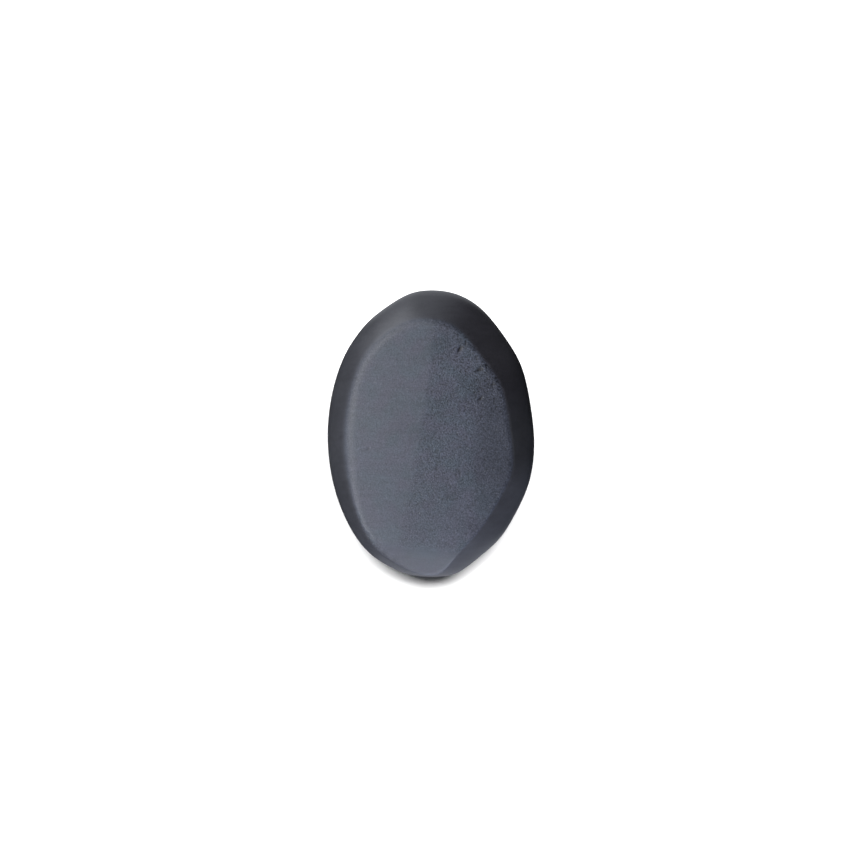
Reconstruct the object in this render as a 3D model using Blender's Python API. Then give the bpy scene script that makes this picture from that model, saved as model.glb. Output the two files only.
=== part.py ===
"""A basalt massage stone: one oval of solid stone with a ground face on each side.

Metres, +Z up. The stone lies on its flat rest face: its long axis is +Y and its
thickness is +Z. The origin is on the rest face, under the middle of the stone.
"""

import math

import bmesh
import bpy

# Overall size
LENGTH = 0.080
WIDTH = 0.0577
THICKNESS = 0.025

# The oval blank, before its flats are ground
BLANK_HALF_WIDTH = 0.0289
BLANK_HALF_LENGTH = 0.0410
WIDEST_HEIGHT_SHARE = 0.48  # of the thickness, where the outline is widest

# The bevel of the oval, between the outline and a ground face
BEVEL_RUN_SIDES = 0.0070
BEVEL_RUN_ENDS = 0.0044
FACE_SHIFT_X = -0.0005
FACE_SHIFT_Y = -0.0030
BLANK_BULGE = 1.6  # 1 is a straight bevel, 2 is a parabola

# Each flat: its direction from +X in degrees, the share of the blank ground off
# at the widest line, the run of its slope from there in to the ground face, and
# the bulge of that slope. The lower end is blunt above the widest line, and
# slopes in below it.
RIGHT_FLAT = (9.0, 0.005, 0.0089, 1.05)
UPPER_RIGHT_FLAT = (36.0, 0.012, 0.0109, 1.05)
UPPER_CORNER_FLAT = (60.0, -0.047, 0.0123, 1.1)
UPPER_END_FLAT = (90.0, -0.017, 0.0113, 1.2)
UPPER_LEFT_FLAT = (125.0, 0.011, 0.0088, 1.6)
LOWER_LEFT_FLAT = (244.0, 0.021, 0.0039, 1.6)
LOWER_END_FLAT = (271.0, 0.040, 0.0002, 1.0)
LOWER_RIGHT_FLAT = (309.0, 0.052, 0.0066, 1.3)
LOWER_SIDE_FLAT = (331.0, 0.027, 0.0076, 1.2)
UNDER_LOWER_LEFT_FLAT = (244.0, 0.021, 0.0055, 1.6)
UNDER_LOWER_END_FLAT = (271.0, 0.040, 0.0070, 1.4)
SHARED_FLATS = (
    RIGHT_FLAT,
    UPPER_RIGHT_FLAT,
    UPPER_CORNER_FLAT,
    UPPER_END_FLAT,
    UPPER_LEFT_FLAT,
    LOWER_RIGHT_FLAT,
    LOWER_SIDE_FLAT,
)
UPPER_FLATS = SHARED_FLATS + (LOWER_LEFT_FLAT, LOWER_END_FLAT)
REST_FLATS = SHARED_FLATS + (UNDER_LOWER_LEFT_FLAT, UNDER_LOWER_END_FLAT)
WIDEST_SHARPNESS = 46.0  # power of the rounding where two flats meet, widest line
FACE_SHARPNESS = 20.0  # the same at the ground faces, where corners are rounder
WIDEST_ROUNDING = 0.2  # share of the half height over which a flat turns over

# The two shallow planes of the upper face, and the soft ridge between them
RIDGE_OFFSET = -0.0032
RIDGE_LEAN_DEG = 9.4
RIDGE_BOW_RADIUS = 0.385
RIDGE_SLOPE_DEG = 1.9
RIDGE_ROUNDING = 0.0012
RIDGE_FADE_START_Y = 0.008
RIDGE_FADE_END_Y = -0.028
RIDGE_LEFT_OVER = 0.3  # share of the ridge's slope past the end of its fade
DOME_RADIUS_ACROSS = 0.330
DOME_RADIUS_ALONG = 0.360

# The gentle flat that takes down the lower end of the upper face
END_DIRECTION_DEG = 263.0
END_START = 0.0308
END_SLOPE_DEG = 20.0
END_ROUNDING = 0.0020

# The slight fall of the upper face towards its right edge
FALL_DIRECTION_DEG = 5.0
FALL_START = 0.0110
FALL_SLOPE_DEG = 2.5
FALL_ROUNDING = 0.0050

# Rounding of the edge between a ground face and the bevel, softer at upper left
EDGE_ROUNDING = 0.0010
EDGE_REACH = 1.6  # how much further the rounding reaches on the face than below it
SOFT_EDGE_EXTRA = 0.0010
SOFT_EDGE_DIRECTION_DEG = 140.0
SOFT_EDGE_SPREAD_DEG = 55.0
EDGE_STEPS = 6  # times the edge's height is followed along the bevel

# Stone colour
BASALT_COLOUR = (0.055, 0.060, 0.074, 1.0)
BASALT_ROUGHNESS = 0.6

# Mesh density
COLUMNS = 144
FACE_RINGS = 10
EDGE_RINGS = 4
BEVEL_RINGS = 6
REST_RINGS = 1
SHARP_EDGE_DEG = 35.0

COLLECTION_NAME = "basalt_massage_stone"
STONE_NAME = "stone_body"


def clear_scene():
    """Remove whatever the scene starts with."""
    for thing in list(bpy.data.objects):
        bpy.data.objects.remove(thing, do_unlink=True)


def oval_radius(angle, slope_share):
    """Distance from the stone's axis to the blank's oval at this angle.

    The oval shrinks and shifts from the widest line (0) to a ground face (1).
    """
    half_x = BLANK_HALF_WIDTH - BEVEL_RUN_SIDES * slope_share
    half_y = BLANK_HALF_LENGTH - BEVEL_RUN_ENDS * slope_share
    shift_x = FACE_SHIFT_X * slope_share
    shift_y = FACE_SHIFT_Y * slope_share
    cos_a = math.cos(angle)
    sin_a = math.sin(angle)
    square = (cos_a / half_x) ** 2 + (sin_a / half_y) ** 2
    linear = cos_a * shift_x / half_x**2 + sin_a * shift_y / half_y**2
    constant = (shift_x / half_x) ** 2 + (shift_y / half_y) ** 2 - 1.0
    return (linear + math.sqrt(linear**2 - square * constant)) / square


def eased_share(height_share):
    """Height share with a rounded start, so the widest line is never a sharp edge."""
    soft = WIDEST_ROUNDING
    return (math.hypot(height_share, soft) - soft) / (math.hypot(1.0, soft) - soft)


def flat_distance(flat, eased):
    """Distance from the stone's axis to one ground flat, square to the flat."""
    direction_deg, ground_off, run, bulge = flat
    direction = math.radians(direction_deg)
    reach = math.hypot(
        BLANK_HALF_WIDTH * math.cos(direction),
        BLANK_HALF_LENGTH * math.sin(direction),
    )
    return reach * (1.0 - ground_off) - run * eased**bulge


def section_radius(angle, height_share, flats):
    """Radius of the stone's section: the oval trimmed by every ground flat.

    The distances are joined by adding their inverses to a high power, which gives
    the smallest of them with its corners rounded.
    """
    eased = eased_share(height_share)
    sharpness = WIDEST_SHARPNESS + (FACE_SHARPNESS - WIDEST_SHARPNESS) * height_share
    total = oval_radius(angle, eased**BLANK_BULGE) ** -sharpness
    for flat in flats:
        facing = math.cos(angle - math.radians(flat[0]))
        if facing > 0.0:
            total += (facing / flat_distance(flat, eased)) ** sharpness
    return total ** (-1.0 / sharpness)


def ridge_drop(x, y):
    """Drop of the two shallow planes on each side of the ridge."""
    ridge_x = RIDGE_OFFSET + y * math.tan(math.radians(RIDGE_LEAN_DEG))
    ridge_x -= y * y / (2.0 * RIDGE_BOW_RADIUS)
    away = math.hypot(x - ridge_x, RIDGE_ROUNDING) - RIDGE_ROUNDING
    along = (y - RIDGE_FADE_END_Y) / (RIDGE_FADE_START_Y - RIDGE_FADE_END_Y)
    along = max(0.0, min(1.0, along))
    kept = RIDGE_LEFT_OVER + (1.0 - RIDGE_LEFT_OVER) * along * along * (3.0 - 2.0 * along)
    return away * kept * math.tan(math.radians(RIDGE_SLOPE_DEG))


def sloping_drop(x, y, direction_deg, start, slope_deg, rounding):
    """Drop of a plane that slopes down past a line across the face."""
    direction = math.radians(direction_deg)
    past = x * math.cos(direction) + y * math.sin(direction) - start
    ramp = (past + math.hypot(past, rounding)) / 2.0
    return ramp * math.tan(math.radians(slope_deg))


def end_drop(x, y):
    """Drop of the gentle flat at the lower end."""
    return sloping_drop(x, y, END_DIRECTION_DEG, END_START, END_SLOPE_DEG, END_ROUNDING)


def right_drop(x, y):
    """Drop of the slight fall towards the right edge."""
    return sloping_drop(x, y, FALL_DIRECTION_DEG, FALL_START, FALL_SLOPE_DEG, FALL_ROUNDING)


def upper_face_height(x, y):
    """Height of the upper face: a shallow dome with a ridge, a flat lower end and
    a slight fall to the right."""
    dome = x * x / (2.0 * DOME_RADIUS_ACROSS) + y * y / (2.0 * DOME_RADIUS_ALONG)
    return THICKNESS - dome - ridge_drop(x, y) - end_drop(x, y) - right_drop(x, y)


def rest_face_height(x, y):
    """Height of the lower ground face, which is flat so that the stone lies still."""
    return 0.0


def rounded_corner(start, corner, end, share):
    """Point on the short curve that rounds a corner of the profile."""
    a = (1.0 - share) ** 2
    b = 2.0 * share * (1.0 - share)
    c = share**2
    return (
        a * start[0] + b * corner[0] + c * end[0],
        a * start[1] + b * corner[1] + c * end[1],
    )


def edge_rounding(angle):
    """Rounding of the ground faces' edge at this angle."""
    off = math.degrees(angle) - SOFT_EDGE_DIRECTION_DEG
    off = (off + 180.0) % 360.0 - 180.0
    bell = math.exp(-((off / SOFT_EDGE_SPREAD_DEG) ** 2))
    return EDGE_ROUNDING + SOFT_EDGE_EXTRA * bell


def half_profile(angle, face_height, flats, face_rings):
    """Radius and height of each ring, from the middle of a face to the widest line."""
    cos_a = math.cos(angle)
    sin_a = math.sin(angle)
    widest_z = THICKNESS * WIDEST_HEIGHT_SHARE
    full = face_height(0.0, 0.0) - widest_z
    corner_share = 1.0
    for _ in range(EDGE_STEPS):
        corner_r = section_radius(angle, corner_share, flats)
        corner_z = face_height(corner_r * cos_a, corner_r * sin_a)
        corner_share = (corner_z - widest_z) / full
    rounding = edge_rounding(angle)
    inner_r = corner_r - EDGE_REACH * rounding
    inner = (inner_r, face_height(inner_r * cos_a, inner_r * sin_a))
    rim_share = corner_share - rounding / abs(full)
    rim = (section_radius(angle, rim_share, flats), widest_z + rim_share * full)

    rings = []
    for step in range(face_rings):
        radius = inner_r * step / face_rings
        rings.append((radius, face_height(radius * cos_a, radius * sin_a)))
    for step in range(EDGE_RINGS + 1):
        share = step / EDGE_RINGS
        rings.append(rounded_corner(inner, (corner_r, corner_z), rim, share))
    for step in range(1, BEVEL_RINGS + 1):
        share = rim_share * (1.0 - step / BEVEL_RINGS)
        radius = section_radius(angle, share, flats)
        rings.append((radius, widest_z + share * full))
    return rings


def full_profile(angle):
    """Rings from the middle of the upper face, over the side, to the rest face."""
    upper = half_profile(angle, upper_face_height, UPPER_FLATS, FACE_RINGS)
    lower = half_profile(angle, rest_face_height, REST_FLATS, REST_RINGS)
    return upper + lower[-2::-1]


def fit_to_size(mesh):
    """Centre the stone over its rest face and bring it to the stated size."""
    for axis, size, middle in ((0, WIDTH, 0.5), (1, LENGTH, 0.5), (2, THICKNESS, 0.0)):
        places = [vert.co[axis] for vert in mesh.verts]
        low = min(places)
        span = max(places) - low
        zero = low + middle * span
        for vert in mesh.verts:
            vert.co[axis] = (vert.co[axis] - zero) * size / span


def split_outwards(mesh):
    """Split each four-sided face along the diagonal that stands further out.

    The creases between flats then stay straight instead of stepping from column
    to column.
    """
    core_z = THICKNESS * WIDEST_HEIGHT_SHARE
    for face in [face for face in mesh.faces if len(face.verts) == 4]:
        a, b, c, d = face.verts
        first = (a.co + c.co) / 2.0
        second = (b.co + d.co) / 2.0
        first.z -= core_z
        second.z -= core_z
        if first.length > second.length:
            bmesh.utils.face_split(face, a, c)
        else:
            bmesh.utils.face_split(face, b, d)


def make_stone(collection, material):
    """Shape a ball of rings and columns into the stone."""
    ring_count = len(full_profile(0.0)) - 1
    mesh = bmesh.new()
    bmesh.ops.create_uvsphere(mesh, u_segments=COLUMNS, v_segments=ring_count, radius=1.0)
    for vert in mesh.verts:
        polar = math.acos(max(-1.0, min(1.0, vert.co.z)))
        ring = round(polar / math.pi * ring_count)
        angle = math.atan2(vert.co.y, vert.co.x)
        radius, height = full_profile(angle)[ring]
        vert.co = (radius * math.cos(angle), radius * math.sin(angle), height)
    fit_to_size(mesh)
    split_outwards(mesh)
    bmesh.ops.recalc_face_normals(mesh, faces=mesh.faces)
    data = bpy.data.meshes.new(STONE_NAME)
    mesh.to_mesh(data)
    mesh.free()
    data.shade_smooth()
    data.set_sharp_from_angle(angle=math.radians(SHARP_EDGE_DEG))
    data.materials.append(material)
    stone = bpy.data.objects.new(STONE_NAME, data)
    collection.objects.link(stone)
    return stone


def make_basalt():
    """Dull blue-grey stone, with no coating."""
    material = bpy.data.materials.new("basalt")
    material.use_nodes = True
    surface = material.node_tree.nodes["Principled BSDF"]
    surface.inputs["Base Color"].default_value = BASALT_COLOUR
    surface.inputs["Roughness"].default_value = BASALT_ROUGHNESS
    surface.inputs["Metallic"].default_value = 0.0
    return material


def main():
    clear_scene()
    collection = bpy.data.collections.new(COLLECTION_NAME)
    bpy.context.scene.collection.children.link(collection)
    make_stone(collection, make_basalt())


main()
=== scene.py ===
# %% [markdown]
# # A basalt massage stone
#
# The object is one solid piece of basalt, a palm-sized oval that is warmed in
# water and laid on the skin. It was sawn and ground rather than found: it has a
# nearly flat face, a bevel all round, and a few flats where it was held against
# the grinding wheel. What makes it look real is in three places: the unevenness
# of that outline, the soft edge between face and bevel, and the fine sandy grain
# of the ground stone.
#
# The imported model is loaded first. It gives the place and size that the finer
# surface below has to keep to.

import bpy
import numpy as np
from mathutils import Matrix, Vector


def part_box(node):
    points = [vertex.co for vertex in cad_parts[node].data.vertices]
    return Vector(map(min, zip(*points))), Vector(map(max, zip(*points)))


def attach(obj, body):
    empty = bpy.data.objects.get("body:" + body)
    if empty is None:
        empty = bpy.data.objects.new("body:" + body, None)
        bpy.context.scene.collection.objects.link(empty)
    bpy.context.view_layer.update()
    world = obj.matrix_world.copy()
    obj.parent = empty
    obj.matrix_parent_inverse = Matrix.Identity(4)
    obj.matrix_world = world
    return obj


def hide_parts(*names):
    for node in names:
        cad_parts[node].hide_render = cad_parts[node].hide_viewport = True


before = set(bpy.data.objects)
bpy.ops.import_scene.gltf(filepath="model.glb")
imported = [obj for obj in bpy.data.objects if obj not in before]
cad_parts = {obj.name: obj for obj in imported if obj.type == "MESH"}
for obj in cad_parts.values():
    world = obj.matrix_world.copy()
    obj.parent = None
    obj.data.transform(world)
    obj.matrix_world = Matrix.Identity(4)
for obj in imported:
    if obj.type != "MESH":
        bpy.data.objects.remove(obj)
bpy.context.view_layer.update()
stone_low, stone_high = (np.array(corner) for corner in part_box("stone_body"))
stone_size = stone_high - stone_low
MM = 0.001
print("stone size in mm:", np.round(stone_size / MM, 2))

# %% [markdown]
# ## Natural unevenness
#
# Ground stone is never even, so several steps below need a smooth random value
# that depends only on the place in the stone. Blender's own noise textures live
# in materials, and could be baked or used through a Displace modifier. Working
# the values out here with numpy keeps one array per effect, which can then be
# mixed, masked and also handed to the material.

# %% A smooth random field


def unevenness(points, size, seed):
    """Value noise from -1 to 1 with soft spots about `size` across.

    Space is cut into cubes, each cube corner gets a fixed random value from its
    whole-number place, and a point takes the smooth mix of its cube's corners.
    """
    cell = points / size + 97.0
    whole = np.floor(cell).astype(np.int64)
    part = cell - whole
    ease = part * part * (3.0 - 2.0 * part)
    total = np.zeros(len(points))
    for corner in range(8):
        step = np.array([corner & 1, corner >> 1 & 1, corner >> 2 & 1])
        place = whole + step
        mixed = place[:, 0] * 73856093 ^ place[:, 1] * 19349663 ^ place[:, 2] * 83492791
        mixed = (mixed ^ seed * 2654435761) & 0xFFFFFFFF
        mixed = (mixed ^ mixed >> 15) * 2246822519 & 0xFFFFFFFF
        mixed = (mixed ^ mixed >> 13) * 3266489917 & 0xFFFFFFFF
        value = (mixed ^ mixed >> 16) / 0xFFFFFFFF
        weight = np.prod(np.where(step, ease, 1.0 - ease), axis=1)
        total += weight * value
    return 2.0 * total - 1.0


def soft_step(low, high, value):
    """0 below `low`, 1 above `high`, with a smooth ramp between them."""
    share = np.clip((value - low) / (high - low), 0.0, 1.0)
    return share * share * (3.0 - 2.0 * share)


def bell(distance, width):
    """1 at no distance, fading on both sides as a bell curve: e to the power of
    minus the square of distance over width."""
    return np.exp(-((distance / width) ** 2))


# %% [markdown]
# ## The outline and the flats
#
# Seen from above, the stone is an oval that somebody has trimmed: flats were
# ground off it on every side, with long slopes at the right and the upper end
# and short ones at the lower left. Each level section of the stone is that oval
# and those flats at its own height, smaller towards a face, and with rounder
# corners there. A lattice or sculpting could give the same shape, but a formula
# keeps every flat adjustable and gives the same stone at any density.

# %% The section at one height
BLANK_HALF = np.array([28.9, 41.0]) * MM
BEVEL_RUN = np.array([7.0, 4.4]) * MM
FACE_SHIFT = np.array([-0.5, -3.0]) * MM
BLANK_BULGE = 1.6
# share of the half height over which a slope turns over to the widest line
WIDEST_ROUNDING = 0.2
# power of the rounding where flats meet, at the widest line and at a face
CORNER_SHARPNESS = (46.0, 20.0)

# direction in degrees from +X, share ground off at the widest line, run of the
# slope, and its bulge: 1 is a flat slope, more is fuller
FLATS = {
    "right": (9.0, 0.005, 8.9 * MM, 1.05),
    "upper right": (36.0, 0.012, 10.9 * MM, 1.05),
    "upper corner": (60.0, -0.047, 12.3 * MM, 1.1),
    "upper end": (90.0, -0.017, 11.3 * MM, 1.2),
    "upper left": (125.0, 0.011, 8.8 * MM, 1.6),
    "lower left": (244.0, 0.021, 3.9 * MM, 1.6),
    "lower end": (271.0, 0.040, 0.2 * MM, 1.0),
    "lower right": (309.0, 0.052, 6.6 * MM, 1.3),
    "lower side": (331.0, 0.027, 7.6 * MM, 1.2),
}
# below the widest line the lower end slopes in like the rest
REST_FLATS = FLATS | {
    "lower left": (244.0, 0.021, 5.5 * MM, 1.6),
    "lower end": (271.0, 0.040, 7.0 * MM, 1.4),
}
# a slight hollow in the outline: its direction and width in degrees
HOLLOW_DIRECTION = 126.0
HOLLOW_WIDTH = 7.0
HOLLOW_DEPTH = 0.20 * MM


def degrees_from(direction, angle):
    """How many degrees an angle is from a direction, from -180 to 180."""
    return (np.degrees(angle) - direction + 180.0) % 360.0 - 180.0


def oval_radius(angle, slope_share):
    """Radius of an off-centre ellipse, solved from its equation along each ray."""
    half_x, half_y = (BLANK_HALF[i] - BEVEL_RUN[i] * slope_share for i in (0, 1))
    shift_x, shift_y = (FACE_SHIFT[i] * slope_share for i in (0, 1))
    cos_a = np.cos(angle)
    sin_a = np.sin(angle)
    square = (cos_a / half_x) ** 2 + (sin_a / half_y) ** 2
    linear = cos_a * shift_x / half_x**2 + sin_a * shift_y / half_y**2
    constant = (shift_x / half_x) ** 2 + (shift_y / half_y) ** 2 - 1.0
    return (linear + np.sqrt(linear**2 - square * constant)) / square


def section_radius(angle, share, flats=FLATS):
    """Radius of the oval after the flats are ground, at `share` of the way from the
    widest line to a face.

    It is the smallest of all the distances, rounded into each other by adding their
    inverses to a high power, less a slight hollow shaped as a bell.
    """
    soft = WIDEST_ROUNDING
    eased = (np.hypot(share, soft) - soft) / (np.hypot(1.0, soft) - soft)
    sharpness = CORNER_SHARPNESS[0] + (CORNER_SHARPNESS[1] - CORNER_SHARPNESS[0]) * share
    total = oval_radius(angle, eased**BLANK_BULGE) ** -sharpness
    for direction, ground_off, run, bulge in flats.values():
        turn = np.radians(direction)
        reach = np.hypot(BLANK_HALF[0] * np.cos(turn), BLANK_HALF[1] * np.sin(turn))
        distance = reach * (1.0 - ground_off) - run * eased**bulge
        facing = np.clip(np.cos(angle - turn), 0.0, None)
        total = total + (facing / distance) ** sharpness
    radius = total ** (-1.0 / sharpness)
    hollow = bell(degrees_from(HOLLOW_DIRECTION, angle), HOLLOW_WIDTH)
    return radius - HOLLOW_DEPTH * hollow


once_round = np.linspace(0.0, 2.0 * np.pi, 9)
outline = section_radius(once_round, 0.0 * once_round)
print("outline radius every 45 degrees in mm:", np.round(outline / MM, 1))

# %% [markdown]
# ## The face, its edge and the bevel
#
# A line from the middle of the upper face to the middle of the rest face crosses
# a shallow dome, a worn edge, the bulging bevel, the widest line, and then the
# same again underneath, where the face is truly flat. The dome is made of two
# planes that lean a couple of degrees apart, because the stone was ground in two
# passes. They meet in a soft ridge that curves from the upper end to the lower.
# Two more passes took the lower end down in a gentle flat that reaches the
# outline, so there is hardly a bevel there, and let the face fall a little
# towards its right edge. A Bevel modifier would round the edge evenly. Here the
# edge is a curve whose size may change from place to place, as wear does.

# %% Heights and profile
THICKNESS = stone_size[2]
WIDEST_Z = 0.48 * THICKNESS
RIDGE_START = -3.2 * MM
RIDGE_LEAN = 0.165
RIDGE_CURVE = -1.3  # per metre
RIDGE_SLOPE = np.tan(np.radians(1.9))
RIDGE_ROUNDING = 0.6 * MM
RIDGE_FADE = np.array([-28.0, 8.0]) * MM
RIDGE_LEFT_OVER = 0.3  # share of the slope that is left past the fade
DOME_RADIUS = np.array([330.0, 360.0]) * MM
END_DIRECTION = np.radians(263.0)
END_START = 30.8 * MM
END_SLOPE = np.tan(np.radians(20.0))
END_ROUNDING = 2.0 * MM
FALL_DIRECTION = np.radians(5.0)
FALL_START = 11.0 * MM
FALL_SLOPE = np.tan(np.radians(2.5))
FALL_ROUNDING = 5.0 * MM
EDGE_WEAR = 0.7 * MM
EDGE_REACH = 2.2  # reach on the face, as a multiple of the drop on the bevel
WEAR_SPOTS = 9.0 * MM
WEAR_CHANGE = 0.2
# direction and width in degrees, and what it adds to the wear of the edge
WEAR_STRETCHES = (
    (185.0, 60.0, 0.6 * MM),
    (110.0, 28.0, 0.1 * MM),
    (285.0, 40.0, -0.4 * MM),
)
EDGE_STEPS = 6
EDGE_ROWS = 10
BEVEL_ROWS = 34


def ridge_distance(x, y):
    """How far a place lies to the right of the ridge line, a shallow parabola."""
    return x - (RIDGE_START + RIDGE_LEAN * y + RIDGE_CURVE * y * y)


def past_line(x, y, direction, start, rounding):
    """How far a place lies past a straight line across the face, 0 before it, with
    a rounded change between the two."""
    past = x * np.cos(direction) + y * np.sin(direction) - start
    return (past + np.hypot(past, rounding)) / 2.0


def upper_height(x, y):
    """Thickness less a paraboloid dome, less the drop on each side of the ridge,
    which fades towards the lower end, less the drops past the lines of the end flat
    and of the slight fall towards the right edge."""
    away = np.hypot(ridge_distance(x, y), RIDGE_ROUNDING) - RIDGE_ROUNDING
    dome = x * x / (2.0 * DOME_RADIUS[0]) + y * y / (2.0 * DOME_RADIUS[1])
    end_drop = END_SLOPE * past_line(x, y, END_DIRECTION, END_START, END_ROUNDING)
    fall = FALL_SLOPE * past_line(x, y, FALL_DIRECTION, FALL_START, FALL_ROUNDING)
    fade = RIDGE_LEFT_OVER + (1.0 - RIDGE_LEFT_OVER) * soft_step(*RIDGE_FADE, y)
    return THICKNESS - RIDGE_SLOPE * fade * away - dome - end_drop - fall


def rest_height(x, y):
    """The rest face is flat, so that the stone lies still."""
    return 0.0 * x


def edge_wear(angle):
    """How far the worn edge drops on the bevel: most on the left, least towards the
    lower end, and a little uneven all round, read on a ring 60 mm wide."""
    ring = np.stack([np.cos(angle), np.sin(angle), 0.0 * angle], axis=-1) * 30.0 * MM
    wear = EDGE_WEAR + 0.0 * angle
    for direction, width, extra in WEAR_STRETCHES:
        wear = wear + extra * bell(degrees_from(direction, angle), width)
    return wear * (1.0 + WEAR_CHANGE * unevenness(ring, WEAR_SPOTS, 3))


def face_edge(angle, height, flats):
    """The three points that steer the worn edge, as (radius, height) arrays: on the
    face, at the sharp corner it started as, and on the bevel.

    The corner is found by following the bevel's section to the face's height a few
    times over. The fourth value is the share at which the bevel begins.
    """
    cos_a = np.cos(angle)
    sin_a = np.sin(angle)
    full = height(0.0, 0.0) - WIDEST_Z
    share = 1.0 + 0.0 * angle
    for _ in range(EDGE_STEPS):
        corner_r = section_radius(angle, share, flats)
        share = (height(corner_r * cos_a, corner_r * sin_a) - WIDEST_Z) / full
    wear = edge_wear(angle)
    corner_z = WIDEST_Z + share * full
    inner_r = corner_r - EDGE_REACH * wear
    inner_z = height(inner_r * cos_a, inner_r * sin_a)
    rim_share = share - wear / np.abs(full)
    rim_r = section_radius(angle, rim_share, flats)
    rim_z = WIDEST_Z + rim_share * full
    return (inner_r, inner_z), (corner_r, corner_z), (rim_r, rim_z), rim_share


def side_rows(angle, height, flats):
    """Rows of (radius, height) from a face's inner edge to the widest line.

    The edge is a quadratic curve steered by its three points, and the bevel's
    radius follows the section as its height falls evenly to the widest line.
    """
    inner, corner, rim, rim_share = face_edge(angle, height, flats)
    t = np.linspace(0.0, 1.0, EDGE_ROWS + 1)[:, None]
    edge_r, edge_z = (
        (1 - t) ** 2 * inner[i] + 2 * t * (1 - t) * corner[i] + t**2 * rim[i]
        for i in (0, 1)
    )
    share = np.linspace(1.0, 0.0, BEVEL_ROWS + 1)[1:, None] * rim_share
    bevel_r = section_radius(angle + 0.0 * share, share, flats)
    bevel_z = WIDEST_Z + share * (height(0.0, 0.0) - WIDEST_Z)
    return np.vstack([edge_r, bevel_r]), np.vstack([edge_z, bevel_z])


# %% [markdown]
# ## One closed skin
#
# A globe's grid would crowd its lines at the middle of each face and shade badly
# there. Here each face is a square grid pressed into the oval instead, the way
# a round cake can be cut from squares, and the side is a band between the two
# grids' borders. All cells come out about a third of a millimetre wide.

# %% Grid of the skin
FACE_CELLS = 128


def square_to_disc(cells):
    """Angle and radius share of a square grid pressed into a disc, sector by sector:
    squares around the middle become circles around it."""
    line = np.linspace(-1.0, 1.0, cells + 1)
    u, v = np.meshgrid(line, line, indexing="ij")
    share = np.maximum(np.abs(u), np.abs(v))
    wide = np.abs(u) >= np.abs(v)
    safe_u = np.where(np.abs(u) < 1e-12, 1e-12, u)
    safe_v = np.where(np.abs(v) < 1e-12, 1e-12, v)
    across = np.pi / 4.0 * v / safe_u + np.where(u < 0.0, np.pi, 0.0)
    along = np.pi / 2.0 - np.pi / 4.0 * u / safe_v + np.where(v < 0.0, np.pi, 0.0)
    return np.where(wide, across, along), share


def border(grid):
    """The outer cells of a square grid in order, once round."""
    return np.concatenate([grid[:-1, 0], grid[-1, :-1], grid[:0:-1, -1], grid[0, :0:-1]])


def quads(rows):
    """Four corners of every cell of a grid of point numbers."""
    return np.stack(
        [rows[:-1, :-1], rows[1:, :-1], rows[1:, 1:], rows[:-1, 1:]], axis=-1
    ).reshape(-1, 4)


def place(radius, angle, height):
    """Points from radius, angle and height."""
    return np.stack([radius * np.cos(angle), radius * np.sin(angle), height], axis=-1)


def face_points(angle, share, height, flats):
    """Points of one face's grid, inside the worn edge."""
    inner_r = face_edge(angle.ravel(), height, flats)[0][0].reshape(angle.shape)
    radius = share * inner_r
    return place(radius, angle, height(radius * np.cos(angle), radius * np.sin(angle)))


disc_angle, disc_share = square_to_disc(FACE_CELLS)
rim_angle = border(disc_angle)
upper = face_points(disc_angle, disc_share, upper_height, FLATS)
rest = face_points(disc_angle, disc_share, rest_height, REST_FLATS)
top_r, top_z = side_rows(rim_angle, upper_height, FLATS)
low_r, low_z = side_rows(rim_angle, rest_height, REST_FLATS)
side_r = np.vstack([top_r, low_r[-2::-1]])[1:-1]
side_z = np.vstack([top_z, low_z[-2::-1]])[1:-1]
side = place(side_r, rim_angle + 0.0 * side_r, side_z)

upper_ids = np.arange(upper.shape[0] * upper.shape[1]).reshape(upper.shape[:2])
side_ids = upper_ids.size + np.arange(side_r.size).reshape(side_r.shape)
rest_ids = upper_ids.size + side_ids.size + upper_ids
band = np.vstack([border(upper_ids), side_ids, border(rest_ids)])
band = np.hstack([band, band[:, :1]])
cells = np.vstack([quads(upper_ids), quads(band), quads(rest_ids)[:, ::-1]])
skin = np.vstack([upper.reshape(-1, 3), side.reshape(-1, 3), rest.reshape(-1, 3)])
print("points:", len(skin), "cells:", len(cells))


# %% [markdown]
# The formula's stone is now brought to the frame's exact box, and its normals
# are worked out from the cells, so that the relief can be cut straight inwards.

# %% Fit the box and find the normals


def fit_box(points, low, high):
    """Stretch the points evenly so that they just fill the box."""
    start = points.min(axis=0)
    span = points.max(axis=0) - start
    return low + (points - start) / span * (high - low)


def point_normals(points, faces):
    """Average of the neighbouring cells' normals, from the cross of their diagonals."""
    a, b, c, d = (points[faces[:, i]] for i in range(4))
    normal = np.cross(c - a, d - b)
    total = np.stack(
        [
            sum(np.bincount(faces[:, i], normal[:, axis], len(points)) for i in range(4))
            for axis in range(3)
        ],
        axis=-1,
    )
    return total / np.linalg.norm(total, axis=1, keepdims=True)


skin = fit_box(skin, stone_low, stone_high)
normals = point_normals(skin, cells)
outward = np.einsum("ij,ij->i", normals, skin - skin.mean(axis=0))
print("share of normals that point out:", np.mean(outward > 0.0))

# %% [markdown]
# ## Zones of the surface
#
# The wheel left the face sandy right of the ridge, most of all in a patch at the
# upper right, and smoother left of it. The end flat is smoothest. Painted shade
# makes the face darker towards the right, and the upper right bevel darker too.
# The edge crumbles at the upper right, less so at the lower left, and is paler at
# the left and the upper left, partly from scuffs and partly by a painted
# highlight. Each zone is a mask, one number per point that fades at its
# borders. Masks painted by hand would do the same, but these follow the shape
# when it is changed.

# %% Where each point lies
MIDDLE_BLEND = (0.45, 0.55)  # share of the thickness
FACE_BLEND = (0.80, 0.97)  # how squarely up or down a point faces
EDGE_BLEND = (0.55, 0.90)
RIDGE_BLEND = np.array([-1.5, 2.5]) * MM
END_BLEND = np.array([-0.5, 2.0]) * MM
FLOOR_BLEND = np.array([0.2, 1.6]) * MM

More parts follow.
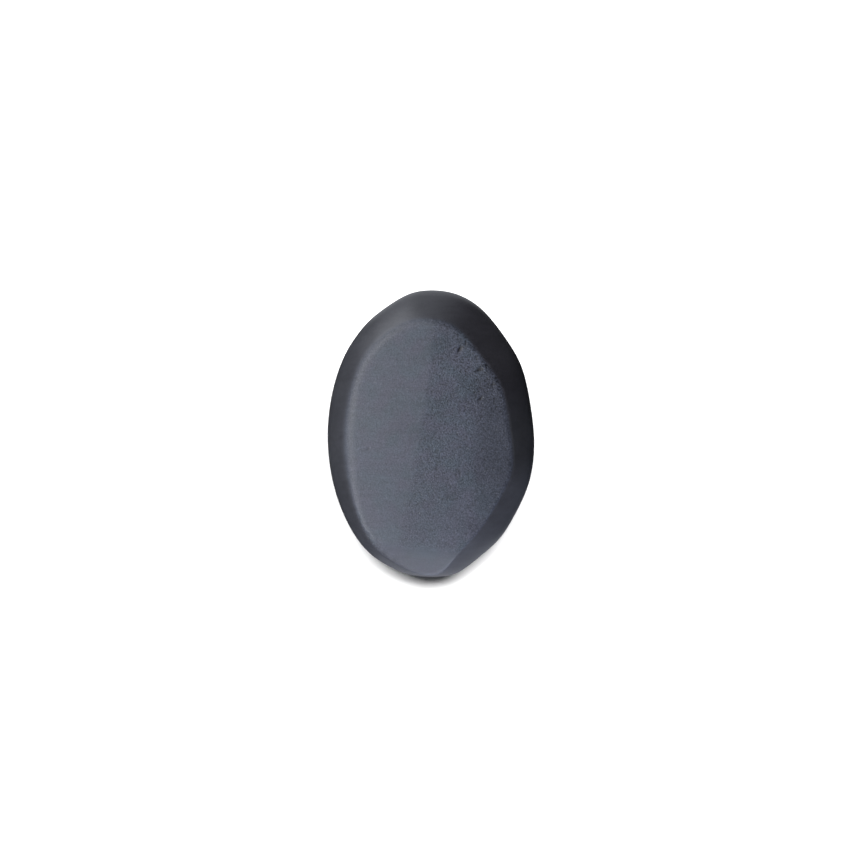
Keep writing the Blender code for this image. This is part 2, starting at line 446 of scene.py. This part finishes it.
mid_x, mid_y = (stone_low[:2] + stone_high[:2]) / 2.0
x = skin[:, 0] - mid_x
y = skin[:, 1] - mid_y
z = skin[:, 2] - stone_low[2]
point_angle = np.arctan2(y, x)
edge_r = face_edge(point_angle, upper_height, FLATS)[1][0]
inside_edge = edge_r - np.hypot(x, y)
facing = np.abs(normals[:, 2])
upper_half = soft_step(*MIDDLE_BLEND, z / THICKNESS)
ground = soft_step(*FACE_BLEND, facing)
right_of_ridge = soft_step(*RIDGE_BLEND, ridge_distance(x, y))
end_flat = soft_step(*END_BLEND, past_line(x, y, END_DIRECTION, END_START, 0.0))
off_floor = soft_step(*FLOOR_BLEND, z)
print("ground share:", round(float(ground.mean()), 3))

# %% The edge: where it is chipped, and where it is pale from scuffs and a painted highlight
EDGE_WIDTH = 1.6 * MM
# direction and width in degrees, and strength
CHIPPED_STRETCHES = ((50.0, 26.0, 1.0), (242.0, 14.0, 0.6))
PALE_EDGE_INSIDE = 1.2 * MM
PALE_EDGE_WIDTH = 1.4 * MM
PALE_EDGE_DIRECTION = 150.0
PALE_EDGE_SPREAD = 70.0

near_edge = bell(inside_edge, EDGE_WIDTH) * soft_step(*EDGE_BLEND, facing)
chip_zone = sum(
    strength * bell(degrees_from(direction, point_angle), width)
    for direction, width, strength in CHIPPED_STRETCHES
)
# pale band inside the left and upper left edge: partly scuffs, partly a painted highlight
scuff_and_highlight = bell(inside_edge - PALE_EDGE_INSIDE, PALE_EDGE_WIDTH) * upper_half
scuff_and_highlight *= bell(degrees_from(PALE_EDGE_DIRECTION, point_angle), PALE_EDGE_SPREAD)
print("chipped points:", int(np.sum(near_edge * chip_zone > 0.5)))

# %% How sandy, and where shade is painted
SANDY_LEFT = 0.45
SANDY_RIGHT = 0.55  # what the right of the ridge adds
SANDY_PATCH = 0.5
SANDY_CHIPS = 0.6
PATCH_MIDDLE = np.array([13.0, 15.0]) * MM
PATCH_RADIUS = 9.0 * MM
END_POLISH = 0.9
LOWER_POLISH = 0.25
LOWER_BLEND = np.array([-26.0, -12.0]) * MM
# painted shade: the face darker towards the right, less so at the lower end, and the upper
# right bevel darker
DARK_FROM_X = np.array([9.0, 17.0]) * MM
DARK_FROM_Y = np.array([-24.0, -6.0]) * MM
DARK_AT_LOWER_END = 0.4
DARK_BEVEL_FROM_X = np.array([1.0, 12.0]) * MM
DARK_BEVEL_FROM_Y = np.array([0.0, 14.0]) * MM

patch = bell(np.hypot(x - PATCH_MIDDLE[0], y - PATCH_MIDDLE[1]), PATCH_RADIUS)
sandy = SANDY_LEFT + SANDY_RIGHT * right_of_ridge + SANDY_PATCH * patch
sandy *= 1.0 - END_POLISH * end_flat
sandy *= 1.0 - LOWER_POLISH * (1.0 - soft_step(*LOWER_BLEND, y))
sandy *= ground * upper_half
sandy += SANDY_CHIPS * near_edge * chip_zone * upper_half
# masks of painted shade, for the right of the face and the upper right bevel
fading = DARK_AT_LOWER_END + (1.0 - DARK_AT_LOWER_END) * soft_step(*DARK_FROM_Y, y)
painted_side_shade = soft_step(*DARK_FROM_X, x) * fading
painted_bevel_shade = soft_step(*DARK_BEVEL_FROM_Y, y) * soft_step(*DARK_BEVEL_FROM_X, x)
print("sandy from", round(float(sandy.min()), 2), "to", round(float(sandy.max()), 2))

# %% [markdown]
# ## Relief
#
# The relief is cut into the stone, never raised, so the stone keeps inside its
# box. It has five layers: slow waves, the grain of the wheel, small pits, a few
# long pores that lie mostly near the upper right edge, and the chips of the edge.
# The rest face stays flat. A Displace modifier could cut the same layers, each
# held to its zone by a vertex group, but it would need one modifier per layer.

# %% Pores
# middle x, middle y, length, width, lean in degrees, depth, all but the lean in mm
PORES = (
    (7.9, 23.0, 1.9, 0.80, 48.0, 0.26),
    (9.5, 24.6, 1.2, 0.60, 62.0, 0.16),
    (13.2, 17.4, 1.9, 0.70, 14.0, 0.22),
    (15.2, 18.6, 1.0, 0.60, 40.0, 0.14),
    (13.6, 9.6, 1.6, 0.60, 40.0, 0.18),
    (16.9, 13.6, 1.1, 0.60, 80.0, 0.14),
    (-17.2, -4.2, 1.0, 0.50, 60.0, 0.10),
    (12.4, 20.9, 1.0, 0.60, 20.0, 0.12),
)
PORE_EDGE = 1.5  # above 1, a pore's wall is steeper than a bell's


def pore_depth(x, y):
    """Sum of long round-bottomed hollows, each an elongated bell: e to the power of
    minus its squared distance, counted in half lengths and half widths."""
    depth = np.zeros(len(x))
    for px, py, length, width, lean, deep in PORES:
        turn = np.radians(lean)
        along = (x - px * MM) * np.cos(turn) + (y - py * MM) * np.sin(turn)
        across = (y - py * MM) * np.cos(turn) - (x - px * MM) * np.sin(turn)
        square = (along / (length * MM / 2.0)) ** 2 + (across / (width * MM / 2.0)) ** 2
        depth += deep * MM * np.exp(-(square**PORE_EDGE))
    return depth


pores = pore_depth(x, y) * upper_half * ground
print("deepest pore in mm:", round(float(pores.max() / MM), 3))

# %% Cut the relief
WAVE_SIZE = 11.0 * MM
WAVE_DEPTH = 0.04 * MM
SAND_SIZES = np.array([1.3, 0.8]) * MM
SAND_DEPTH = 0.020 * MM
SMOOTH_SHARE = 0.35  # of the sand's depth, where nothing is sandy
PIT_SIZE = 1.2 * MM
PIT_RANGE = (0.60, 0.90)
PIT_DEPTH = 0.030 * MM
CHIP_SIZE = 1.1 * MM
CHIP_RANGE = (0.1, 0.7)
CHIP_DEPTH = np.array([0.02, 0.16]) * MM  # all round, and what a chipped stretch adds

waves = 0.5 + 0.5 * unevenness(skin, WAVE_SIZE, 11)
coarse_sand = unevenness(skin, SAND_SIZES[0], 21)
fine_sand = unevenness(skin, SAND_SIZES[1], 22)
sand = 0.5 + 0.3 * coarse_sand + 0.2 * fine_sand
pits = soft_step(*PIT_RANGE, unevenness(skin, PIT_SIZE, 31))
chips = soft_step(*CHIP_RANGE, unevenness(skin, CHIP_SIZE, 41)) * near_edge
relief = WAVE_DEPTH * waves
relief += SAND_DEPTH * sand * (SMOOTH_SHARE + (1.0 - SMOOTH_SHARE) * sandy)
relief += PIT_DEPTH * pits * sandy
relief += chips * (CHIP_DEPTH[0] + CHIP_DEPTH[1] * chip_zone) + pores
relief *= off_floor
skin = skin - normals * relief[:, None]
print("deepest relief in mm:", round(float(relief.max() / MM), 3))

# %% [markdown]
# The mesh gets its points and cells in one go, smooth shading, and the masks as
# attributes of its points, so that the material knows which zone it is in. They
# could be drawn on a UV map as well, but a closed stone has no good place for a
# seam.

# %% Build the mesh


def make_piece(name, points, faces):
    """A mesh object at the origin from arrays of points and four-sided cells."""
    mesh = bpy.data.meshes.new(name)
    mesh.from_pydata(points.tolist(), [], faces.tolist())
    mesh.validate()
    mesh.shade_smooth()
    piece = bpy.data.objects.new(name, mesh)
    bpy.context.scene.collection.objects.link(piece)
    return piece


def add_mask(piece, name, values):
    """Store one number per point under a name that a material can read."""
    layer = piece.data.attributes.new(name, "FLOAT", "POINT")
    layer.data.foreach_set("value", np.asarray(values, dtype=np.float32))


# the hollow mask carries painted shade in the pores, full at this depth
FULL_PORE = 0.16 * MM  # depth at which a pore is quite dark

stone = make_piece("ground_stone", skin, cells)
add_mask(stone, "ground_face", ground)
add_mask(stone, "sandy", sandy)
# masks of painted shade on the right of the face and on the upper right bevel
add_mask(stone, "painted_side_shade", painted_side_shade)
add_mask(stone, "painted_bevel_shade", painted_bevel_shade)
# pale edge mask: partly scuffs, partly a painted highlight
add_mask(stone, "scuff_and_highlight", scuff_and_highlight)
# painted shade in the pores, darker where they are deeper
add_mask(stone, "hollow", np.clip(pores / FULL_PORE, 0.0, 1.0))
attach(stone, "root")
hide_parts("stone_body")
print("triangles:", sum(len(p.vertices) - 2 for p in stone.data.polygons))

# %% [markdown]
# ## Basalt
#
# Basalt is a dark blue-grey rock of crystals too small to see one by one. Ground
# with a coarse wheel it turns paler and sandy, because every grain scatters
# light. Where hands and water have polished it, on the bevel, it stays darker
# and a little warmer. Light specks are feldspar crystals. The pores are dark
# from painted shade, the deeper the darker.
# All of it is drawn by noise on the object's own coordinates and by the masks,
# so nothing slides when the stone is turned. A scan's picture could be wrapped
# round it instead, but it would have a fixed sharpness and a seam.

# %% Node helpers


def add_node(tree, kind, **settings):
    """A new node with its settings."""
    node = tree.nodes.new(kind)
    for key, value in settings.items():
        setattr(node, key, value)
    return node


def math_node(tree, operation, a, b=0.0):
    """A Math node on two sockets or numbers, giving its output."""
    node = add_node(tree, "ShaderNodeMath", operation=operation)
    for socket, value in zip(node.inputs, (a, b)):
        if isinstance(value, (int, float)):
            socket.default_value = value
        else:
            tree.links.new(value, socket)
    return node.outputs[0]


def ramp(tree, value, low, high, out_low=0.0, out_high=1.0):
    """A Map Range node, giving its result."""
    node = add_node(tree, "ShaderNodeMapRange", clamp=True)
    tree.links.new(value, node.inputs["Value"])
    for name, number in (
        ("From Min", low),
        ("From Max", high),
        ("To Min", out_low),
        ("To Max", out_high),
    ):
        node.inputs[name].default_value = number
    return node.outputs["Result"]


def mix_colour(tree, share, first, second):
    """A Mix node on two colours or sockets, giving the mixed colour."""
    node = add_node(tree, "ShaderNodeMix", data_type="RGBA")
    for name, value in (("Factor", share), ("A", first), ("B", second)):
        socket = next(s for s in node.inputs if s.name == name and s.enabled)
        if hasattr(value, "is_linked"):
            tree.links.new(value, socket)
        else:
            socket.default_value = value
    return next(s for s in node.outputs if s.enabled)


def noise(tree, vector, spot_size, detail=2.0, roughness=0.5):
    """Noise texture with spots about `spot_size` metres across, giving its value."""
    node = add_node(tree, "ShaderNodeTexNoise")
    tree.links.new(vector, node.inputs["Vector"])
    node.inputs["Scale"].default_value = 1.0 / spot_size
    node.inputs["Detail"].default_value = detail
    node.inputs["Roughness"].default_value = roughness
    return node.outputs["Fac"]


def new_group(name, inputs, outputs):
    """An empty node group with named sockets, and its two end nodes."""
    group = bpy.data.node_groups.new(name, "ShaderNodeTree")
    for label, kind in inputs:
        group.interface.new_socket(label, in_out="INPUT", socket_type=kind)
    for label, kind in outputs:
        group.interface.new_socket(label, in_out="OUTPUT", socket_type=kind)
    return group, group.nodes.new("NodeGroupInput"), group.nodes.new("NodeGroupOutput")


# %% [markdown]
# The sandy grain is one group: it takes a place and a strength, and gives the
# height for the bump, the shade of the grains, and the mask of pale crystals.
# The grains are a little under half a millimetre across, so they can be told
# apart at arm's length on the coarse side of the ridge and melt together on the
# other. Long faint marks run across the face, as the wheel did.

# %% Group for the grain
GRAIN_SIZE = 0.44 * MM
FINE_SIZE = 0.28 * MM
FINE_WEIGHT = 0.5
GRAIN_RANGE = (0.45, 1.05)  # of the two noises together
GRAIN_SHADE = 0.9
MARK_SIZE = np.array([9.0, 1.1, 3.0]) * MM
MARK_RANGE = (0.3, 0.7)
MARK_SHADE = 0.08
CRYSTAL_SIZE = 0.60 * MM
CRYSTAL_RANGE = (0.72, 0.80)
CRYSTAL_SHIFT = np.array([31.0, 57.0, 13.0]) * MM


def make_grain_group():
    """Fine sand from two noises, faint grinding marks across, and sparse crystals."""
    group, inside, outside = new_group(
        "stone grain",
        [("Place", "NodeSocketVector"), ("Strength", "NodeSocketFloat")],
        [
            ("Height", "NodeSocketFloat"),
            ("Shade", "NodeSocketFloat"),
            ("Crystals", "NodeSocketFloat"),
        ],
    )
    where = inside.outputs["Place"]
    strength = inside.outputs["Strength"]
    coarse = noise(group, where, GRAIN_SIZE, 2.0, 0.55)
    fine = noise(group, where, FINE_SIZE, 1.0, 0.5)
    fine = math_node(group, "MULTIPLY", fine, FINE_WEIGHT)
    grains = math_node(group, "ADD", coarse, fine)
    height = math_node(group, "MULTIPLY", grains, strength)
    group.links.new(height, outside.inputs["Height"])

    stretched = add_node(group, "ShaderNodeVectorMath", operation="DIVIDE")
    group.links.new(where, stretched.inputs[0])
    stretched.inputs[1].default_value = MARK_SIZE
    marks = noise(group, stretched.outputs[0], 1.0)
    marks = ramp(group, marks, *MARK_RANGE, -MARK_SHADE, MARK_SHADE)
    speckle = ramp(group, grains, *GRAIN_RANGE, -GRAIN_SHADE, GRAIN_SHADE)
    speckle = math_node(group, "MULTIPLY", speckle, strength)
    shade = math_node(group, "ADD", math_node(group, "ADD", speckle, marks), 1.0)
    group.links.new(shade, outside.inputs["Shade"])

    moved = add_node(group, "ShaderNodeVectorMath", operation="ADD")
    group.links.new(where, moved.inputs[0])
    moved.inputs[1].default_value = CRYSTAL_SHIFT
    spots = noise(group, moved.outputs[0], CRYSTAL_SIZE, 1.0, 0.4)
    crystals = math_node(group, "MULTIPLY", ramp(group, spots, *CRYSTAL_RANGE), strength)
    group.links.new(crystals, outside.inputs["Crystals"])
    return group


# %% [markdown]
# The material mixes the blue-grey of the ground face with the warmer bevel, each
# darker in its own zone by painted shade, lets both drift slowly in tone and hue,
# and adds the pale edge, partly from scuffs and partly a painted highlight, the
# grain with its crystals, and painted shade in the pores. Fine ground basalt has a
# dull sheen, so the base is dark and the roughness middling: much of what the eye
# sees is soft reflected light.

# %% The basalt material
FACE_COLOURS = ((0.051, 0.054, 0.076, 1.0), (0.045, 0.056, 0.074, 1.0))
# painted shade colours for the right of the face and the upper right bevel
PAINTED_SIDE_SHADE_COLOUR = (0.037, 0.041, 0.056, 1.0)
PAINTED_BEVEL_SHADE_COLOUR = (0.034, 0.033, 0.040, 1.0)
# pale edge colour: partly scuffs, partly a painted highlight
SCUFF_AND_HIGHLIGHT_COLOUR = (0.061, 0.066, 0.083, 1.0)
# painted shade colour for the pores
PORE_SHADE_COLOUR = (0.010, 0.010, 0.013, 1.0)
BEVEL_COLOUR = (0.046, 0.047, 0.054, 1.0)
CRYSTAL_COLOUR = (0.12, 0.13, 0.15, 1.0)
ROUGHNESS = (0.40, 0.47)
SANDIEST = 1.5
GRAIN_STRENGTH = (0.12, 1.44)  # where nothing is sandy, and at the sandiest
DRIFT_SIZE = 9.0 * MM
DRIFT_RANGE = (0.3, 0.7)
DRIFT_SHADE = (0.92, 1.08)
HUE_SIZE = 5.0 * MM
HUE_RANGE = (0.35, 0.65)
BUMP_DEPTH = 0.080 * MM


def read_mask(tree, name):
    """The value of one of the mesh's stored masks."""
    return add_node(tree, "ShaderNodeAttribute", attribute_name=name).outputs["Fac"]


def make_basalt(grain_group):
    """Principled stone whose colour and bump follow the zones, and whose roughness drifts
    slowly.
    """
    material = bpy.data.materials.new("ground basalt")
    material.use_nodes = True
    tree = material.node_tree
    surface = tree.nodes["Principled BSDF"]
    where = add_node(tree, "ShaderNodeTexCoord").outputs["Object"]
    ground_mask = read_mask(tree, "ground_face")
    sandy_mask = read_mask(tree, "sandy")

    grain = add_node(tree, "ShaderNodeGroup", node_tree=grain_group)
    tree.links.new(where, grain.inputs["Place"])
    strength = ramp(tree, sandy_mask, 0.0, SANDIEST, *GRAIN_STRENGTH)
    tree.links.new(strength, grain.inputs["Strength"])

    slow = noise(tree, where, DRIFT_SIZE, 2.0, 0.55)
    hue = ramp(tree, noise(tree, where, HUE_SIZE, 1.0), *HUE_RANGE)
    drift = ramp(tree, slow, *DRIFT_RANGE, *DRIFT_SHADE)
    shade = math_node(tree, "MULTIPLY", drift, grain.outputs["Shade"])
    face_colour = mix_colour(tree, hue, *FACE_COLOURS)
    # painted shade: the face darker towards the right, the bevel darker at the upper right
    painted_shade = read_mask(tree, "painted_side_shade")
    face_colour = mix_colour(tree, painted_shade, face_colour, PAINTED_SIDE_SHADE_COLOUR)
    painted_shade = read_mask(tree, "painted_bevel_shade")
    bevel_colour = mix_colour(tree, painted_shade, BEVEL_COLOUR, PAINTED_BEVEL_SHADE_COLOUR)
    colour = mix_colour(tree, ground_mask, bevel_colour, face_colour)
    # pale edge: partly scuffs, partly a painted highlight
    colour = mix_colour(tree, read_mask(tree, "scuff_and_highlight"), colour, SCUFF_AND_HIGHLIGHT_COLOUR)
    shaded = add_node(tree, "ShaderNodeVectorMath", operation="SCALE")
    tree.links.new(colour, shaded.inputs[0])
    tree.links.new(shade, shaded.inputs["Scale"])
    colour = mix_colour(tree, grain.outputs["Crystals"], shaded.outputs[0], CRYSTAL_COLOUR)
    # painted shade in the pores, darker where they are deeper
    colour = mix_colour(tree, read_mask(tree, "hollow"), colour, PORE_SHADE_COLOUR)
    tree.links.new(colour, surface.inputs["Base Color"])
    roughness = ramp(tree, slow, *DRIFT_RANGE, *ROUGHNESS)
    tree.links.new(roughness, surface.inputs["Roughness"])

    bump = add_node(tree, "ShaderNodeBump")
    bump.inputs["Strength"].default_value = 1.0
    bump.inputs["Distance"].default_value = BUMP_DEPTH
    tree.links.new(grain.outputs["Height"], bump.inputs["Height"])
    tree.links.new(bump.outputs["Normal"], surface.inputs["Normal"])
    return material


stone.data.materials.append(make_basalt(make_grain_group()))
print("materials:", [slot.name for slot in stone.data.materials])

# %% [markdown]
# ## Studio
#
# The stone lies on a plain white table under soft light, and the camera looks
# straight down on it. The table is only there to be white and to catch the soft
# shadow below the stone's lower end, so it doesn't throw light back on the
# bevel. The world is white to the camera and almost dark to everything else.

# %% The table
TABLE_HALF = 4.0
TABLE_CORNERS = ((-1.0, -1.0, 0.0), (1.0, -1.0, 0.0), (1.0, 1.0, 0.0), (-1.0, 1.0, 0.0))
TABLE_COLOUR = (0.9, 0.9, 0.9, 1.0)
TABLE_ROUGHNESS = 0.9


def make_floor():
    """A large square of matt white at the height of the rest face."""
    corners = np.array(TABLE_CORNERS) * TABLE_HALF
    floor = make_piece("table_top", corners, np.array([[0, 1, 2, 3]]))
    material = bpy.data.materials.new("white table")
    material.use_nodes = True
    surface = material.node_tree.nodes["Principled BSDF"]
    surface.inputs["Base Color"].default_value = TABLE_COLOUR
    surface.inputs["Roughness"].default_value = TABLE_ROUGHNESS
    surface.inputs["Specular IOR Level"].default_value = 0.0
    floor.data.materials.append(material)
    floor.visible_diffuse = False
    floor.visible_glossy = False
    return floor


floor = make_floor()
print("table width in m:", 2.0 * TABLE_HALF)

# %% [markdown]
# Light linking splits the lamps in two sets: one shapes the stone, the other
# lights the table. The two lamps below the horizon stand for the light that a
# white table would throw back up. Two strong keys stand high behind the upper
# end of the stone, and each alone is enough to turn the table white. So the
# shadow shows only where the stone hides both, in a small crescent under its
# lower end. One lamp set for everything would be simpler, but then the shadow
# and the shading of the stone couldn't be set apart.

# %% The lamps


def light_set(name, *receivers):
    """A collection of the objects that a set of lamps may light."""
    group = bpy.data.collections.new(name)
    for thing in receivers:
        group.objects.link(thing)
    return group


def aim(lamp, azimuth, elevation, distance=0.6):
    """Put a lamp on a sphere round the stone, looking at its middle."""
    az = np.radians(azimuth)
    el = np.radians(elevation)
    across = distance * np.cos(el)
    lamp.location = (across * np.cos(az), across * np.sin(az), distance * np.sin(el))
    lamp.rotation_euler = (np.pi / 2.0 - el, 0.0, az + np.pi / 2.0)


def add_sun(name, azimuth, elevation, strength, spread, colour, receivers):
    """A soft sun: azimuth from +X, elevation above the table, spread in degrees.
    It lights only the receivers, and only the stone throws a shadow from it."""
    data = bpy.data.lights.new(name, "SUN")
    data.energy = strength
    data.color = colour
    data.angle = np.radians(spread)
    lamp = bpy.data.objects.new(name, data)
    aim(lamp, azimuth, elevation)
    lamp.light_linking.receiver_collection = receivers
    lamp.light_linking.blocker_collection = stone_set
    bpy.context.scene.collection.objects.link(lamp)
    return lamp


WHITE = (1.0, 1.0, 1.0)
COOL = (0.90, 0.93, 1.0)
BLUE = (0.66, 0.74, 1.0)
# name, azimuth, elevation, strength, spread, colour
STONE_LAMPS = (
    ("front key", 220.0, 60.0, 1.77, 30.0, COOL),
    ("back key", 140.0, 60.0, 1.28, 30.0, WHITE),
    ("back strip", 122.0, 15.0, 1.62, 40.0, COOL),
    ("left strip", 180.0, 45.0, 0.25, 20.0, COOL),
    ("front fill", 270.0, 30.0, 0.95, 35.0, WHITE),
    ("front strip", 280.0, 2.0, 2.40, 50.0, BLUE),
    ("bounce at the back", 90.0, -45.0, 0.75, 60.0, COOL),
    ("bounce at the front", 280.0, -45.0, 0.50, 60.0, COOL),
)
TABLE_LAMPS = (
    ("table key right", 57.0, 70.0, 3.9, 19.0, WHITE),
    ("table key left", 123.0, 70.0, 3.9, 19.0, WHITE),
    ("table fill", 90.0, 88.0, 0.10, 40.0, WHITE),
)
stone_set = light_set("lit by the stone lamps", stone)
floor_set = light_set("lit by the table lamps", floor)
for lamp in STONE_LAMPS:
    add_sun(*lamp, stone_set)
for lamp in TABLE_LAMPS:
    add_sun(*lamp, floor_set)
print("lamps:", len(STONE_LAMPS) + len(TABLE_LAMPS))

# %% World and camera
FRAME_WIDTH = 240.8 * MM
FRAME_SHIFT = 0.65 * MM  # upwards, from the stone's middle
LENS = 85.0
SENSOR = 36.0
WORLD_FILL = 0.02


def make_world():
    """Pure white to the camera, and a faint grey fill to everything else."""
    world = bpy.data.worlds.new("studio")
    bpy.context.scene.world = world
    world.use_nodes = True
    tree = world.node_tree
    background = tree.nodes["Background"]
    path = add_node(tree, "ShaderNodeLightPath")
    strength = ramp(tree, path.outputs["Is Camera Ray"], 0.0, 1.0, WORLD_FILL, 1.0)
    tree.links.new(strength, background.inputs["Strength"])
    background.inputs["Color"].default_value = (1.0, 1.0, 1.0, 1.0)


def make_camera():
    """Looking straight down, with the stone's long axis up the frame."""
    data = bpy.data.cameras.new("camera")
    data.lens = LENS
    data.sensor_width = SENSOR
    data.clip_start = 0.01
    data.clip_end = 50.0
    camera = bpy.data.objects.new("camera", data)
    distance = FRAME_WIDTH * LENS / SENSOR
    camera.location = (mid_x, mid_y + FRAME_SHIFT, WIDEST_Z + distance)
    bpy.context.scene.collection.objects.link(camera)
    bpy.context.scene.camera = camera


make_world()
make_camera()
bpy.context.scene.view_settings.view_transform = "Standard"
bpy.context.scene.view_settings.look = "None"
